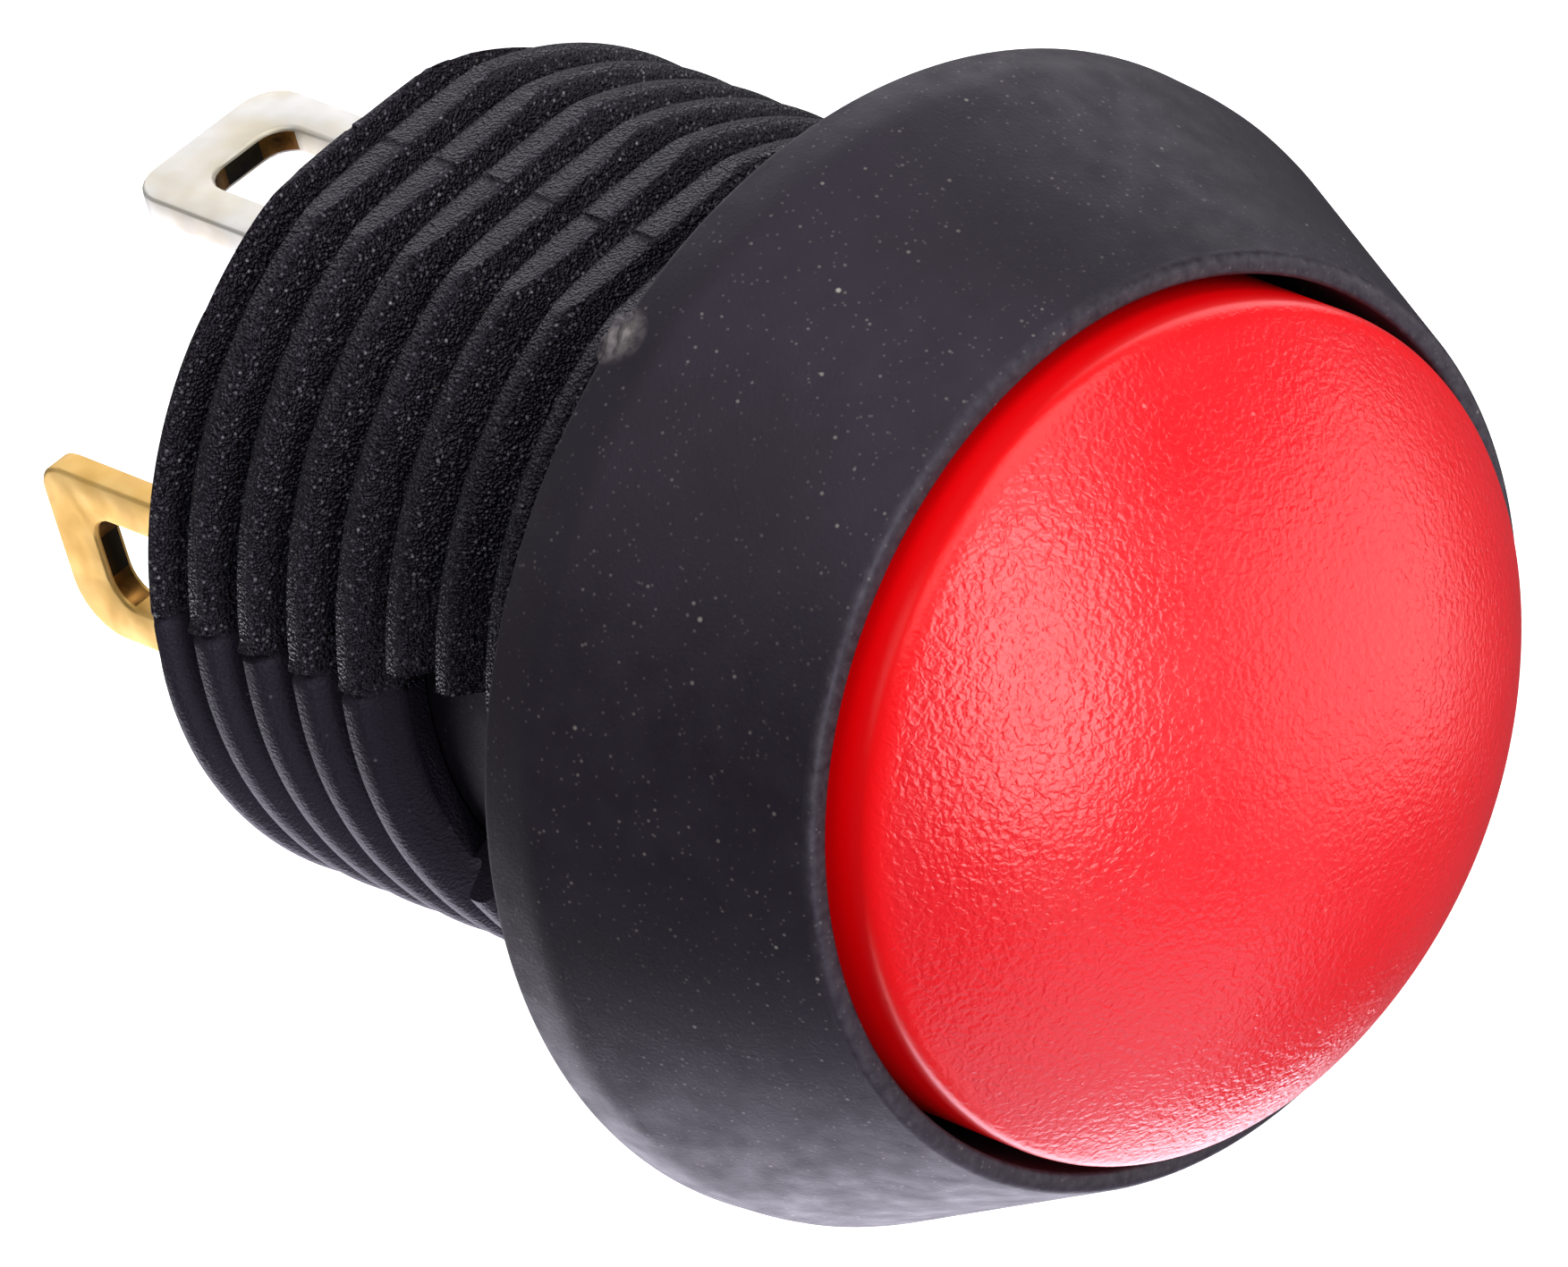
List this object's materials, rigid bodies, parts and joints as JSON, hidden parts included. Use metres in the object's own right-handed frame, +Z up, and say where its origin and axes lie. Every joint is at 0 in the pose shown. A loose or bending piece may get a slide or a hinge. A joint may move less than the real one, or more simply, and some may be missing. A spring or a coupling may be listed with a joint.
{
  "type": "panel push button",
  "caption": "Sealed momentary push button with a domed red cap in a conical black bezel, a threaded bushing and two solder lugs behind.",
  "frame": {"origin": "centre of the 12 mm panel hole, in the plane of the bezel's back face that seats on the panel", "axes": "+Y along the button's axis towards the solder lugs, so the button is pressed along +Y; +Z up"},
  "size_m": [0.0162, 0.021, 0.0162],
  "materials": {
    "black_nylon": "moulded matte black with a faint blue cast",
    "black_nylon_rough": "moulded black, spark-eroded grain",
    "nitrile_rubber": "matte",
    "white_acetal": "smooth",
    "spring_steel": "plain",
    "silicone_rubber": "matte",
    "phenolic": "moulded",
    "epoxy": "poured, glossy",
    "red_plastic": "satin orange peel on the dome, glossy on the skirt",
    "gold_plate": "gold plated",
    "silver_plate": "silver plated, satin"
  },
  "bodies": {
    "housing": {"bezel_head": "black_nylon", "threaded_bushing": "black_nylon_rough", "panel_seal_ring": "nitrile_rubber", "plunger_guide": "white_acetal", "spring_seat_washer": "spring_steel", "seal_boot": "silicone_rubber", "seal_clamp_ring": "spring_steel", "terminal_base": "phenolic", "potting_plug": "epoxy", "silver_lug": "silver_plate", "gold_lug": "gold_plate", "silver_lug_rivet": "silver_plate", "gold_lug_rivet": "silver_plate", "return_spring": "spring_steel"},
    "button": {"button_cap": "red_plastic", "plunger": "white_acetal", "stop_ring": "spring_steel", "disc_retainer": "spring_steel"},
    "contact": {"contact_disc": "gold_plate", "contact_spring": "spring_steel"}
  },
  "joints": [
    {"name": "button_press", "type": "slide", "parent": "housing", "child": "button", "axis": [0, 1, 0], "range_m": [0, 0.0016], "stiffness_N_per_m": 900, "springref_m": -0.0012, "deforming": ["return_spring", "seal_boot"]},
    {"name": "contact_close", "type": "slide", "parent": "housing", "child": "contact", "axis": [0, 1, 0], "range_m": [0, 0.00058], "deforming": ["contact_spring"]}
  ],
  "couplings": [
    {"joint": "contact_close", "follows": "button_press", "ratio": 0.3625}
  ]
}
